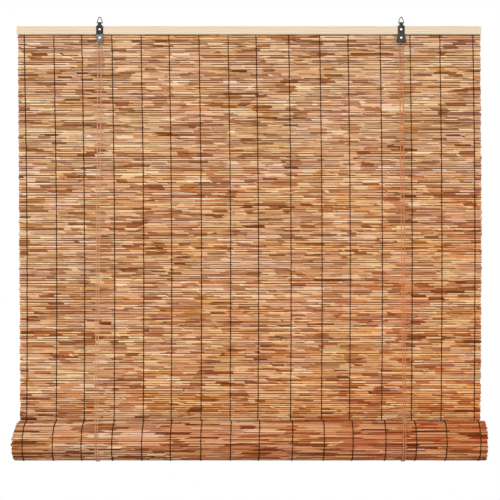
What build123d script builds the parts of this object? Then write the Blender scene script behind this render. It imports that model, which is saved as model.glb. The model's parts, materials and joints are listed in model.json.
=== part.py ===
"""Roll-up reed blind on two hanging rings: planed headrail, woven reed mat, roll and two doubled lift cords.

X runs along the headrail, Y from the room towards the window and Z up, in millimetres. The origin is on the
line where the hooks bear under the rings' wire, at the middle of the mat's width.
"""
from build123d import *
import os
from math import asin, atan2, cos, degrees, hypot, pi, sin, tan

# Clearances
seat_gap = 0.1  # pieces fastened or laid face to face
free_gap = 0.3  # pieces that move past each other
running_fit = 0.05  # a bore on its pin
overrun = 1.0  # cutters past the faces they cut

# Headrail
rail_overhang = 2.0  # each end past the mat's edge
rail_height = 17.2
rail_thickness = 9.0
rail_chamfer = 0.7
hang_drop = 18.9  # from the hook line to the headrail's top

# Reed mat
mat_width = 1000.0
mat_drop = 890.5  # hanging length, from its top edge to the roll's axis
mat_top_set = 1.5  # the mat's top edge below the headrail's top
reed_pitch = 4.7
reed_thickness = 4.9
reed_web = 1.8  # where neighbouring reeds touch
reed_shoulder_share = 0.28  # of the pitch, from the valley to the flat of the reed

# Roll
roll_radius = 42.3
roll_turns = 6
turn_gap = 0.4
jog_share = 40 / 360  # of a turn, where each turn steps in over the one below
turn_bends = 18  # straight lengths of an inner turn, each a few reeds wide
core_slim_share = 0.293  # of a right angle, between the batten's diagonal and its long side

# Warp threads, across the mat as seen from the room
thread_width = 1.5
thread_thickness = 0.8
thread_shares = (
    -0.4855, -0.4215, -0.3610, -0.2960, -0.2330, -0.1725, -0.1080, -0.0450,
    0.0155, 0.0860, 0.1530, 0.2140, 0.2835, 0.3480, 0.4125, 0.4840,
)
thread_bends = 10  # straight lengths of a thread round the roll

# Hanging rings
hanger_insets = {"left": 177.5, "right": 170.8}  # from the mat's edge to the ring's middle
ring_wire = 1.8
ring_width = 11.4  # between the wire's middles at the foot
ring_height = 13.0  # from the wire's middle at the foot to that at the apex
ring_apex_radius = 2.3
ring_foot_radius = 1.5
ring_sides = 6  # flats of the wire
ring_bends = 4  # straight lengths in the round of a corner

# Hanger plates
strap_thickness = 1.0
strap_width = 15.2
neck_width = 7.8
shoulder_rise = 2.8  # the shoulders above the headrail's top
shoulder_chamfer = 3.0
skirt_drop = 18.6  # the skirt below the headrail's foot
skirt_radius = 3.0
skirt_widths = {"left": 13.8, "right": 23.0}
eye_wrap = 255.0  # degrees of the strap's curl round the ring's foot

# Hanger screws
screw_radius = 1.5
screw_length = 7.0
screw_sides = 6  # flats of the shank
screw_head_radius = 2.6
screw_head_height = 1.4
screw_head_taper = 35.0  # degrees
screw_height_share = 0.41  # of the headrail's height, below its top

# Pulleys
axle_radius = 1.5
axle_head_radius = 2.6
axle_head_height = 1.3
axle_flange_radius = 4.6
axle_flange_thickness = 0.9
axle_drop = 7.8  # below the headrail's foot
wheel_radius = 5.4
wheel_width = 4.6
tread_radius = 2.4  # at the bottom of the groove
groove_foot = 1.8
groove_room = 0.15  # under the cord

# Lift cords
cord_diameter = 2.2
cord_sides = 5
cord_pair = 4.6  # between the two strands' middles on the roll
exit_drop = 6.0  # straight below the axle before a strand slants to the roll
bend_share = 0.45  # of the shorter run, taken up by an arc
knot_radius = 2.2
knot_length = 4.6
knot_chamfer = 1.2

# Staples
staple_wire = 1.2
staple_crown = 11.0
staple_bite = 5.0  # into the headrail
staple_height_share = 0.5  # of the headrail's height, below its top

# Places that follow from the sizes above
eye_radius = ring_wire / 2 + free_gap
eye_z = ring_wire / 2 - ring_height
strap_back = -eye_radius
strap_front = strap_back - strap_thickness
rail_top = -hang_drop
rail_foot = rail_top - rail_height
rail_back = strap_back + rail_thickness
screw_z = rail_top - rail_height * screw_height_share
staple_z = rail_top - rail_height * staple_height_share
knot_z = staple_z + staple_wire / 2 + seat_gap
rail_length = mat_width + 2 * rail_overhang
hanger_x = {"left": hanger_insets["left"] - mat_width / 2, "right": mat_width / 2 - hanger_insets["right"]}

reed_count = round(mat_drop / reed_pitch)
reed_step = mat_drop / reed_count
mat_front = rail_back + seat_gap
mat_middle = mat_front + reed_thickness / 2
mat_back = mat_front + reed_thickness
mat_top = rail_top - mat_top_set
mat_foot = mat_top - mat_drop
thread_places = [share * mat_width for share in thread_shares]

turn_pitch = reed_thickness + turn_gap
rolling_radius = roll_radius - reed_thickness / 2
roll_y = mat_middle - rolling_radius
roll_z = mat_foot - seat_gap
wrap_angle = 2 * pi * (1 - jog_share)
turn_step = wrap_angle / turn_bends
hollow_radius = rolling_radius - (roll_turns - 1) * turn_pitch - reed_thickness / 2
core_radius = hollow_radius * cos(turn_step / 2) - seat_gap

cord_radius = cord_diameter / 2
cord_wrap_radius = tread_radius + groove_room + cord_radius
axle_z = rail_foot - axle_drop
wheel_front = strap_back + free_gap
wheel_y = wheel_front + wheel_width / 2
flange_front = wheel_front + wheel_width + free_gap
sling_radius = roll_radius + free_gap + cord_radius


def along_x(profile, start, length):
    """A profile drawn in Y and Z, drawn out along X."""
    return extrude(Plane.YZ.offset(start) * profile, amount=length)


def turned(outline, x, z):
    """A profile of radius and Y, turned about an axle along Y."""
    return Pos(x, 0, z) * revolve(make_face(Polyline(*outline, close=True)), Axis.Y)


def group(solids):
    return Compound(children=list(solids))


def on_roll(radius, angle):
    """A place on the roll's section, the angle running from the window side down and round the front."""
    return (roll_y + radius * cos(angle), roll_z - radius * sin(angle))


def headrail():
    rail = Pos(0, rail_back - rail_thickness / 2, rail_top - rail_height / 2) * Box(
        rail_length, rail_thickness, rail_height
    )
    return chamfer(rail.edges().filter_by(Axis.X), rail_chamfer)


def reed_mat():
    """The hanging wall: one reed above another, each a flat-topped ridge in front and a sharp one behind."""
    shoulder = reed_step * reed_shoulder_share
    front, back = [], []
    for row in range(reed_count):
        top = mat_top - row * reed_step
        front += [
            (mat_middle - reed_web / 2, top),
            (mat_front, top - shoulder),
            (mat_front, top - reed_step + shoulder),
        ]
        back += [(mat_middle + reed_web / 2, top), (mat_back, top - reed_step / 2)]
    front.append((mat_middle - reed_web / 2, mat_foot))
    back.append((mat_middle + reed_web / 2, mat_foot))
    return along_x(make_face(Polyline(*front, *reversed(back), close=True)), -mat_width / 2, mat_width)


def mat_threads():
    front_top = rail_foot - seat_gap
    nip = roll_z + roll_radius * tan(2 * pi * jog_share) / 2
    solids = []
    for x in thread_places:
        for y, top, foot in (
            (mat_front - seat_gap - thread_thickness, front_top, nip),
            (mat_back + seat_gap, mat_top, mat_foot),
        ):
            strip = Box(thread_width, thread_thickness, top - foot)
            solids.append(Pos(x, y + thread_thickness / 2, (top + foot) / 2) * strip)
    return group(solids)


def turn_radius(turn):
    return rolling_radius - turn * turn_pitch


def roll_turn(radius):
    """One turn's places, from the window side down, round the front and over the top."""
    return [on_roll(radius, bend * turn_step) for bend in range(turn_bends + 1)]


def mat_roll():
    """The rolled-up mat: round turns that each step in by one thickness, with the reeds' ridges outside."""
    half = reed_thickness / 2
    ridges = round(wrap_angle * rolling_radius / reed_pitch)
    step = wrap_angle / ridges
    outside = []
    for ridge in range(ridges):
        start = ridge * step
        outside += [
            on_roll(rolling_radius + reed_web / 2, start),
            on_roll(roll_radius, start + step * reed_shoulder_share),
            on_roll(roll_radius, start + step * (1 - reed_shoulder_share)),
        ]
    outside.append(on_roll(rolling_radius + reed_web / 2, wrap_angle))
    for turn in range(1, roll_turns):
        outside += roll_turn(turn_radius(turn) + half)
    inside = []
    for turn in range(roll_turns):
        inside += roll_turn(turn_radius(turn) - half)
    return along_x(make_face(Polyline(*outside, *reversed(inside), close=True)), -mat_width / 2, mat_width)


def roll_threads():
    step = wrap_angle / thread_bends
    inner = (roll_radius + seat_gap) / cos(step / 2)
    outer = inner + thread_thickness
    angles = [bend * step for bend in range(thread_bends + 1)]
    inside = [on_roll(inner, angle) for angle in angles]
    outside = [on_roll(outer, angle) for angle in reversed(angles)]
    band = along_x(make_face(Polyline(*inside, *outside, close=True)), -thread_width / 2, thread_width)
    return group(Pos(x, 0, 0) * band for x in thread_places)


def bottom_batten():
    lean = pi / 2 * core_slim_share
    section = Rectangle(2 * core_radius * sin(lean), 2 * core_radius * cos(lean))
    return along_x(Pos(roll_y, roll_z) * section, -rail_length / 2, rail_length)


def hanger_plate(side):
    half, neck, skirt = strap_width / 2, neck_width / 2, skirt_widths[side] / 2
    shoulder = rail_top + shoulder_rise
    foot = rail_foot - skirt_drop
    right = [(skirt, foot), (half, rail_foot), (half, shoulder), (neck, shoulder), (neck, eye_z)]
    left = [(-x, z) for x, z in reversed(right)]
    outline = make_face(Polyline(*right, *left, close=True))
    shoulders = outline.vertices().group_by(Axis.Y)[-2].sort_by(Axis.X)
    outline = chamfer([shoulders[0], shoulders[-1]], shoulder_chamfer)
    outline = fillet(outline.vertices().group_by(Axis.Y)[0], skirt_radius)
    plate = extrude(Plane.XZ.offset(-strap_back) * outline, amount=strap_thickness)
    curl = trace(
        CenterArc((0, eye_z), eye_radius + strap_thickness / 2, 180, -eye_wrap), strap_thickness
    )
    plate += along_x(curl, -neck, neck_width)
    for radius, z in ((screw_radius, screw_z), (axle_radius, axle_z)):
        bore = Cylinder(radius + running_fit, strap_thickness + 2 * overrun)
        plate -= Pos(0, strap_back - strap_thickness / 2, z) * Rot(90, 0, 0) * bore
    return Pos(hanger_x[side], 0, 0) * plate


def ring_corner(middle, radius, start, size):
    """Places round one corner of a ring, in X and Z, the angles in radians."""
    angles = [start + size * bend / ring_bends for bend in range(ring_bends + 1)]
    return [(middle[0] + radius * cos(angle), middle[1] + radius * sin(angle)) for angle in angles]


def hanging_ring(side):
    """Triangular wire ring, its sides tangent to the rounds of the apex and the foot."""
    foot_x = ring_width / 2 - ring_foot_radius
    foot_z = eye_z + ring_foot_radius
    apex_z = eye_z + ring_height - ring_apex_radius
    rise = apex_z - foot_z
    lean = atan2(foot_x, rise) + asin((ring_apex_radius - ring_foot_radius) / hypot(foot_x, rise))
    turn = pi / 2 + lean
    places = ring_corner((foot_x, foot_z), ring_foot_radius, -pi / 2, turn)
    places += ring_corner((0, apex_z), ring_apex_radius, lean, pi - 2 * lean)
    places += ring_corner((-foot_x, foot_z), ring_foot_radius, pi - lean, turn)
    route = Plane.XZ * Polyline(*places, close=True)
    section = Plane(origin=route @ 0, z_dir=route % 0) * RegularPolygon(ring_wire / 2, ring_sides)
    return Pos(hanger_x[side], 0, 0) * sweep(section, path=route, transition=Transition.RIGHT)


def hanger_screws():
    """Round-headed screws, their shanks driven into the headrail."""
    head = Plane.XZ.offset(-strap_front) * Circle(screw_head_radius)
    head = extrude(head, amount=screw_head_height, taper=screw_head_taper)
    shank = Plane.XZ.offset(-strap_front) * RegularPolygon(screw_radius, screw_sides)
    screw = head + extrude(shank, amount=-(strap_thickness + screw_length))
    return group(Pos(x, 0, screw_z) * screw for x in hanger_x.values())


def pulley_axles():
    """Shouldered rivets: a head on the plate, and a flange that keeps the wheel on."""
    head = strap_front - axle_head_height
    end = flange_front + axle_flange_thickness
    outline = [
        (0, head),
        (axle_radius, head),
        (axle_head_radius, strap_front),
        (axle_radius, strap_front),
        (axle_radius, flange_front),
        (axle_flange_radius, flange_front),
        (axle_flange_radius, end),
        (0, end),
    ]
    return group(turned(outline, x, axle_z) for x in hanger_x.values())


def pulley_wheel(side):
    """Grooved wheel: a tread a little narrower than the cord, flaring to the rim."""
    bore = axle_radius + running_fit
    half, foot = wheel_width / 2, groove_foot / 2
    back = [(tread_radius, foot), (wheel_radius, half), (bore, half)]
    front = [(radius, -out) for radius, out in reversed(back)]
    outline = [(radius, wheel_y + out) for radius, out in back + front]
    return turned(outline, hanger_x[side], axle_z)


def cord_tube(route):
    section = Plane(origin=route @ 0, z_dir=route % 0) * RegularPolygon(cord_radius, cord_sides)
    return sweep(section, path=route)


def strand_ends():
    """Where a strand leaves its pulley for the roll, and where it meets the roll's front, in Y and Z."""
    leave = Vector(wheel_y, axle_z - exit_drop)
    to_roll = Vector(roll_y, roll_z) - leave
    lean = atan2(-to_roll.X, -to_roll.Y) + asin(sling_radius / to_roll.length)
    meet = Vector(roll_y - sling_radius * cos(lean), roll_z + sling_radius * sin(lean))
    return leave, meet, lean


def cord_front(side):
    """The two taut strands from the pulley to the roll's front."""
    leave, meet, lean = strand_ends()
    radius = bend_share * exit_drop / tan(lean / 2)
    print(f"{side} cord: bend below the pulley {radius:.1f} mm, round the wheel {cord_wrap_radius:.2f} mm")
    strands = []
    for way in (-1, 1):
        x_pulley = hanger_x[side] + way * cord_wrap_radius
        x_roll = hanger_x[side] + way * cord_pair / 2
        points = [
            Vector(x_pulley, wheel_y, axle_z - seat_gap),
            Vector(x_pulley, leave.X, leave.Y),
            Vector(x_roll, meet.X, meet.Y),
        ]
        points[2] += (points[1] - points[2]).normalized() * seat_gap
        strands.append(cord_tube(FilletPolyline(*points, radius=radius)))
    return group(strands)


def cord_wraps():
    """The cords over their wheels, from one strand to the other."""
    level = Plane.XZ.offset(-wheel_y)
    return group(
        cord_tube(level * CenterArc((x, axle_z), cord_wrap_radius, 0, 180)) for x in hanger_x.values()
    )


def cord_slings():
    """The cords' loops under the roll, from its front to its window side."""
    lean = strand_ends()[2]
    print(f"cords round the roll {sling_radius:.1f} mm")
    loops = []
    for x in hanger_x.values():
        for way in (-1, 1):
            section_plane = Plane.YZ.offset(x + way * cord_pair / 2)
            sweep_angle = 180 + degrees(lean)
            arc = CenterArc((roll_y, roll_z), sling_radius, 180 - degrees(lean), sweep_angle)
            loops.append(cord_tube(section_plane * arc))
    return group(loops)


def back_strands(side):
    """The places of a side's two back runs in X, and the Y that they share."""
    return [hanger_x[side] + way * cord_pair / 2 for way in (-1, 1)], roll_y + sling_radius


def cord_back(side):
    """The two back runs, from the roll up under their staple to the knots."""
    places, y = back_strands(side)
    foot = roll_z + seat_gap
    return group(cord_tube(Line((x, y, foot), (x, y, knot_z - seat_gap))) for x in places)


def cord_knots():
    """Knots that bear on their staple, lying against the mat's back."""
    knots = []
    y = mat_back + seat_gap + knot_radius
    for side in hanger_x:
        for x in back_strands(side)[0]:
            bead = extrude(RegularPolygon(knot_radius, cord_sides), amount=knot_length)
            bead = chamfer(bead.edges().group_by(Axis.Z)[0] + bead.edges().group_by(Axis.Z)[-1], knot_chamfer)
            knots.append(Pos(x, y, knot_z) * bead)
    return group(knots)


def staple(crown, inner_y):
    """A staple driven through the mat into the headrail, its crown bearing at inner_y."""
    outer, inner = crown / 2, crown / 2 - staple_wire
    tip, top = rail_back - staple_bite, inner_y + staple_wire
    right = [(inner, inner_y), (inner, tip), (outer, tip), (outer, top)]
    left = [(-x, y) for x, y in reversed(right)]
    profile = make_face(Polyline(*right, *left, close=True))
    return Pos(0, 0, staple_z - staple_wire / 2) * extrude(profile, amount=staple_wire)


def mat_staples():
    """Staples in every other bay between the threads, and in the end bays."""
    one = staple(staple_crown, mat_back + seat_gap)
    bays = list(zip(thread_places, thread_places[1:]))
    stapled = [bays[0], *bays[1:-1:2], bays[-1]]
    return group(Pos((left + right) / 2, 0, 0) * one for left, right in stapled)


def cord_staples():
    crown = cord_pair + cord_diameter + 2 * (free_gap + staple_wire)
    one = staple(crown, roll_y + sling_radius + cord_radius + seat_gap)
    return group(Pos(x, 0, 0) * one for x in hanger_x.values())


def write(name, shape):
    export_step(shape, os.path.join("parts", name + ".step"))


os.makedirs("parts", exist_ok=True)
for make in (
    headrail, reed_mat, mat_threads, mat_roll, roll_threads, bottom_batten, hanger_screws, pulley_axles,
    cord_wraps, cord_slings, cord_knots, mat_staples, cord_staples,
):
    write(make.__name__, make())
for make in (hanger_plate, hanging_ring, pulley_wheel, cord_front, cord_back):
    for hand in hanger_x:
        write(f"{make.__name__}_{hand}", make(hand))
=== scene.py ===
"""Roll-up reed blind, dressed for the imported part: reeds, warp threads, lift cords, hangers and the studio.

Metres, in the part's own frame: X along the headrail, Y from the room towards the window, Z up.
"""

import json
from contextlib import contextmanager
from math import asin, atan2, cos, hypot, pi, radians, sin

import bpy
import numpy as np
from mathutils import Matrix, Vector


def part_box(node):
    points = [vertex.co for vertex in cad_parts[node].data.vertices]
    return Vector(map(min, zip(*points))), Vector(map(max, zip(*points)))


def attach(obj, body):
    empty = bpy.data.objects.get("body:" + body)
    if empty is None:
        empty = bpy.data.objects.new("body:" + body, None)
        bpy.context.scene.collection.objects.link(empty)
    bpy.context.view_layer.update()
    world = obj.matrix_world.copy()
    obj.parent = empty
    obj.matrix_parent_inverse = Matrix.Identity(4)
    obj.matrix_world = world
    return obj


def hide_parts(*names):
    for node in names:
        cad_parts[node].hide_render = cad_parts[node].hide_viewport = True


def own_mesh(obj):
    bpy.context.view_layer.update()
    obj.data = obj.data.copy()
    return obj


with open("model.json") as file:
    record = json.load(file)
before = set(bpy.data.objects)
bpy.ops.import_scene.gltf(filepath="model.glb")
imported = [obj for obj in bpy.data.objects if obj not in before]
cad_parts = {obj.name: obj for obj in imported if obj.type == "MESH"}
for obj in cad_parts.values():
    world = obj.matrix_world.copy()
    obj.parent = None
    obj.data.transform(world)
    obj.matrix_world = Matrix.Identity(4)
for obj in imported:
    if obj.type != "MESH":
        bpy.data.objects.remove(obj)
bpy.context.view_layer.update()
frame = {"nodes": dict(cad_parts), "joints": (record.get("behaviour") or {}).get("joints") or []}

MM = 0.001
draw = np.random.default_rng(1847)

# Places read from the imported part
joints = {joint["name"]: joint for joint in frame["joints"]}
rail_low, rail_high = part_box("headrail")
mat_low, mat_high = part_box("reed_mat")
mat_front, mat_back = mat_low.y, mat_high.y
mat_middle = (mat_front + mat_back) / 2
mat_top, mat_foot = mat_high.z, mat_low.z
mat_half = mat_high.x
roll_axis = Vector(joints["roll_turn"]["pos_m"])
lift = joints["roll_lift"]["range_m"][1]
rolling_radius = mat_middle - roll_axis.y
raised_z = roll_axis.z + lift
hanger_x = {side: joints[f"ring_{side}_swing"]["pos_m"][0] for side in ("left", "right")}
eye_z = joints["ring_left_swing"]["pos_m"][2]
wheel_spot = Vector(joints["pulley_left_spin"]["pos_m"])

# Rows of reeds. uneven is the least and greatest height of a row, in even steps.
reed_rows = 189
reed_step = (mat_top - mat_foot) / reed_rows
uneven = 0.7, 1.3
row_heights = draw.uniform(*uneven, reed_rows)
row_heights *= (mat_top - mat_foot) / row_heights.sum()
row_middles = mat_top - np.cumsum(row_heights) + row_heights / 2
reed_reach = (mat_back - mat_front) / 2
back_inset, sliver_inset = 3 * MM, 8 * MM  # from the ends of a row
# The back stems' dark tone is painted shade deep in the valleys between rows.
back_reed_radius, back_shade_tone = 1.2 * MM, 0.2

# One stem in a row: its ends, and how far its section, slope and depth in the row may vary
stem_lengths = 60 * MM, 210 * MM
slant_range = 1, 6  # mm
shortest_end = 1 * MM
end_limit, end_part = 3, 9  # an end is up to 1/3 of its stem, and its taper breaks at 1/9 of the end
end_shares = 0.12, 0.6  # of the full height, at the tip and at the break
end_lean = 0.95
stem_thickness = 0.88, 1.0
stem_height, height_spread = 1.05, (-0.02, 0.05)
stem_depth, depth_spread = 0.92, (-0.08, 0.08)
stem_slope, stem_wobble = 0.0015, 0.06 * MM
stem_sink = 0.0, 0.35  # mm
# Dark, tan and straw stems: the chance up to which each is drawn, and its tones
stem_tones = (0.24, 0.0, 0.28), (0.7, 0.36, 0.72), (1.0, 0.66, 0.98)
stem_cuts, stem_sides = 5, 6
stem_stations = stem_cuts + 1

# Splinters caught between the rows
sliver_lengths = 20, 90  # mm
sliver_sizes = 0.7, 1.2  # mm
sliver_taper = np.array([0.15, 0.85, 1, 0.85, 0.12])
sliver_flatness = 0.9
sliver_slope, sliver_wobble = 0.006, 0.1 * MM
sliver_rise = 0.6, 1.25
sliver_sink = 0.0, 0.6  # mm
dark_slivers, dark_tones, pale_tones = 0.7, (0.0, 0.16), (0.75, 1.0)
mat_slivers, roll_slivers, crown_slivers = (4, 8), (9, 14), (2, 5)  # on one row
sliver_cuts, sliver_sides = 4, 5
sliver_stations = sliver_cuts + 1

# The mat's edges, in millimetres: their start at the top, the left one's lean and the right one's bow
left_start, left_lean = -0.7, 5.4
right_start, right_bow = 2.0, 2.4
edge_jitter = 1.1

# The roll. Offsets of its outer turn are in millimetres, at the back, foot, front, crown and nip.
turn_pitch = 5.3 * MM
roll_turns = 6
jog_angle = radians(40)
crown_start = radians(215)
roll_stations = np.radians((0, 90, 180, 270, 320))
roll_left_end = 4.7, 0.5, -2.5, 8.0, 8.5
roll_right_end = 2.0, 5.0, 5.0, 4.6, 4.0
inner_left_end, inner_right_end = 3 * MM, -1 * MM
roll_jitter = 1.5
inner_wobble = 0.1 * MM
inner_thickness = 0.92, 1.0

# The mat above split_z still hangs when the roll is right up; what the roll takes up, below it, is a piece of
# its own.
split_rise, tuck_rise = 3 * MM, 26 * MM
split_z = raised_z + split_rise

# Warp threads, as shares of the mat's width
thread_shares = (
    -0.4855, -0.4215, -0.3610, -0.2960, -0.2330, -0.1725, -0.1080, -0.0450,
    0.0155, 0.0860, 0.1530, 0.2140, 0.2835, 0.3480, 0.4125, 0.4840,
)
thread_radius = 1.14 * MM
thread_sides = 5
thread_reach = reed_reach + thread_radius * 0.25
thread_wander = 0.25 * MM
rail_clear = 1 * MM  # threads stay behind the headrail to this far below it
thread_top_start, thread_top_spread = -2.0, 3.4  # mm
thread_foot, thread_bow = 3.8 * MM, 3.5 * MM
roll_left_shift = 0.0, 0.6, 2.5, 5.1, 5.4
roll_right_shift = 0.0, 2.2, 2.6, 2.5, 2.5
# A strand's stations on one reed: rows down, share of its reach outwards, millimetres sideways
stitch = (-0.27, 0.9, -0.14), (0.27, 0.9, 0.14), (0.5, 0, 0.42)

# Lift cords
cord_radius = 1.1 * MM
cord_sides = 10
cord_pair = 4.6 * MM
cord_x = {side: (x - cord_pair / 2, x + cord_pair / 2) for side, x in hanger_x.items()}
cord_wrap_radius = 3.65 * MM
sling_radius = 43.7 * MM
exit_drop = 6 * MM
leave_y, leave_z = wheel_spot.y, wheel_spot.z - exit_drop
roll_steps = 7
front_places, back_places, short_places = 12, 8, 3  # along a straight run
sling_places, wrap_places = 40, 15
knot_size, knot_flatness, knot_strand = 0.62 * MM, 0.9, 0.85 * MM
knot_sides, knot_places = 8, 48

# Hangers
plate_face = -2.2 * MM
plate_ease = 0.22 * MM
ring_wire, wire_sides = 0.9 * MM, 12
foot_round, apex_round, corner_places = 1.5 * MM, 2.3 * MM, 9
head_radius, head_rim = 2.6 * MM, 0.15  # the rim as a share of the head's height
head_steps, wheel_steps = 24, 36
screw_radius, axle_radius = 1.4 * MM, 1.5 * MM
flange_radius, flange_thickness, flange_ease = 4.6 * MM, 0.9 * MM, 0.2 * MM
# Half of a wheel from the middle of its groove to its bore: radius and distance out, in millimetres
wheel_half = [
    (2.4, 0.0), (2.4, 0.6), (2.55, 0.92), (5.2, 2.02), (5.36, 2.1), (5.4, 2.18), (5.34, 2.27), (5.2, 2.3),
    (1.55, 2.3),
]

# Studio
floor_z, floor_size = -1.75, 5
room_light = 0.45
lamp_target = Vector((0, 0, -0.5))
lamps = (
    ("key", (-0.7, -2.9, 0.75), 1.3, 60),
    ("fill", (1.2, -2.6, -0.7), 1.8, 24),
    ("back", (0.6, 2.4, 0.6), 1.8, 44),
)
camera_spot = 2.4 * MM, mat_front - 3.14, -0.5027
camera_lens = 104.3


# Small tools of the bench

weld = 0.002 * MM


def clear_selection():
    if bpy.context.object and bpy.context.object.mode != "OBJECT":
        bpy.ops.object.mode_set(mode="OBJECT")
    bpy.ops.object.select_all(action="DESELECT")


def pick(piece):
    clear_selection()
    piece.select_set(True)
    bpy.context.view_layer.objects.active = piece


def settle(piece):
    """Puts the piece's place and turn into its mesh."""
    pick(piece)
    bpy.ops.object.transform_apply(location=True, rotation=True, scale=True)
    return piece


def join(pieces, name):
    clear_selection()
    for piece in pieces:
        piece.select_set(True)
    bpy.context.view_layer.objects.active = pieces[0]
    bpy.ops.object.join()
    whole = bpy.context.object
    whole.name = name
    whole.data.name = name
    return whole


@contextmanager
def editing(piece):
    """Edit mode, with the whole piece selected."""
    pick(piece)
    bpy.ops.object.mode_set(mode="EDIT")
    bpy.ops.mesh.select_all(action="SELECT")
    yield
    bpy.ops.object.mode_set(mode="OBJECT")


def outward(piece):
    """Merges doubles and turns every face outwards."""
    with editing(piece):
        bpy.ops.mesh.remove_doubles(threshold=weld)
        bpy.ops.mesh.normals_make_consistent(inside=False)
    return piece


def smooth(piece, angle):
    pick(piece)
    bpy.ops.object.shade_smooth_by_angle(angle=radians(angle))
    return piece


def paint(piece, material):
    piece.data.materials.clear()
    piece.data.materials.append(material)


def dress(piece, material, body, slot, *stands_for):
    paint(piece, material)
    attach(piece, body)
    if stands_for:
        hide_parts(*stands_for)
    return piece


def stand(name, data):
    """A new object in the scene."""
    piece = bpy.data.objects.new(name, data)
    bpy.context.scene.collection.objects.link(piece)
    return piece


# Shader nodes


class Shader:
    """The node tree of a material, world or group, with short calls to add and join nodes."""

    def __init__(self, owner, tree):
        self.owner, self.tree = owner, tree

    def put(self, socket, value):
        """Links a socket, or gives it a number, a vector or a colour."""
        if isinstance(value, bpy.types.NodeSocket):
            self.tree.links.new(value, socket)
        elif value is not None:
            socket.default_value = (*value, 1) if socket.type == "RGBA" else value

    def add(self, kind, inputs=None, **values):
        node = self.tree.nodes.new(kind)
        for key, value in values.items():
            setattr(node, key, value)
        for key, value in (inputs or {}).items():
            self.put(node.inputs[key], value)
        return node

    def coat(self, colour, roughness, normal=None, shine=None, metallic=None):
        """The material, with its Principled node finished."""
        names = "Base Color", "Roughness", "Normal", "Specular IOR Level", "Metallic"
        for name, value in zip(names, (colour, roughness, normal, shine, metallic)):
            self.put(self.tree.nodes["Principled BSDF"].inputs[name], value)
        return self.owner

    def attribute(self, name, output="Fac"):
        return self.add("ShaderNodeAttribute", attribute_name=name).outputs[output]

    def parts(self, vector):
        return self.add("ShaderNodeSeparateXYZ", {0: vector}).outputs

    def math(self, operation, first, second=None, clamp=False):
        inputs = {0: first, 1: second}
        return self.add("ShaderNodeMath", inputs, operation=operation, use_clamp=clamp).outputs[0]

    def plus(self, first, second, clamp=False):
        return self.math("ADD", first, second, clamp)

    def times(self, first, second):
        return self.math("MULTIPLY", first, second)

    def mix(self, share, first, second, blend="MIX"):
        inputs = {0: share, 6: first, 7: second}
        return self.add("ShaderNodeMix", inputs, data_type="RGBA", blend_type=blend).outputs[2]

    def either(self, share, first, second):
        """One surface or another."""
        return self.add("ShaderNodeMixShader", {0: share, 1: first, 2: second}).outputs[0]

    def ramp(self, value, stops):
        """Screen colours along a value."""
        node = self.add("ShaderNodeValToRGB", {0: value})
        while len(node.color_ramp.elements) < len(stops):
            node.color_ramp.elements.new(1)
        for element, (place, colour) in zip(node.color_ramp.elements, stops):
            element.position = place
            element.color = (*srgb(*colour), 1)
        return node.outputs[0]

    def noise(self, vector, scale, detail=3.0, roughness=0.55):
        inputs = {"Vector": vector, "Scale": scale, "Detail": detail, "Roughness": roughness}
        return self.add("ShaderNodeTexNoise", inputs).outputs["Fac"]

    def wave(self, vector, direction, scale, distortion):
        inputs = {"Vector": vector, "Scale": scale, "Distortion": distortion}
        return self.add("ShaderNodeTexWave", inputs, bands_direction=direction).outputs["Fac"]

    def stretched(self, vector, scale, place=(0, 0, 0)):
        return self.add("ShaderNodeMapping", {"Vector": vector, "Scale": scale, "Location": place}).outputs[0]

    def band(self, value, low, high, to_low=0.0, to_high=1.0):
        inputs = dict(enumerate((value, low, high, to_low, to_high)))
        return self.add("ShaderNodeMapRange", inputs).outputs[0]

    def patches(self, place):
        """Two chance values for each stretch between uneven cuts along a line, and the stretch's middle."""
        node = self.add("ShaderNodeTexVoronoi", {"W": place, "Scale": 1.0}, voronoi_dimensions="1D")
        chances = self.add("ShaderNodeSeparateColor", {0: node.outputs["Color"]}).outputs
        return chances["Red"], chances["Green"], node.outputs["W"]

    def bump(self, height, strength, distance):
        inputs = {"Height": height, "Strength": strength, "Distance": distance}
        return self.add("ShaderNodeBump", inputs).outputs[0]


def srgb(red, green, blue):
    """A colour as a screen shows it, 0 to 255, in linear light."""
    shares = (value / 255 for value in (red, green, blue))
    return tuple(v / 12.92 if v <= 0.04045 else ((v + 0.055) / 1.055) ** 2.4 for v in shares)


def finish_named(name):
    """A new material's shader and its object coordinates."""
    material = bpy.data.materials.new(name)
    material.use_nodes = True
    shader = Shader(material, material.node_tree)
    return shader, shader.add("ShaderNodeTexCoord").outputs["Object"]


def effect_group(name, *outputs):
    """A new node group's shader, the vector that it is given and its output node."""
    group = bpy.data.node_groups.new(name, "ShaderNodeTree")
    group.interface.new_socket("Vector", in_out="INPUT", socket_type="NodeSocketVector")
    for output in outputs:
        group.interface.new_socket(output, in_out="OUTPUT", socket_type="NodeSocketFloat")
    shader = Shader(group, group)
    return shader, shader.add("NodeGroupInput").outputs["Vector"], shader.add("NodeGroupOutput")


def grain_group():
    """Fibres along X: fine streaks and long slow ones, for reed and pine."""
    shader, vector, out = effect_group("long_grain", "Fine", "Slow")
    fine = shader.noise(shader.stretched(vector, (14, 1500, 1500)), 1.0, 4.0, 0.6)
    slow = shader.noise(shader.stretched(vector, (5, 260, 260), (3.1, 1.7, 0.4)), 1.0, 2.0)
    shader.put(out.inputs["Fine"], shader.band(fine, 0.3, 0.7))
    shader.put(out.inputs["Slow"], shader.band(slow, 0.3, 0.7))
    return shader.owner


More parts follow.
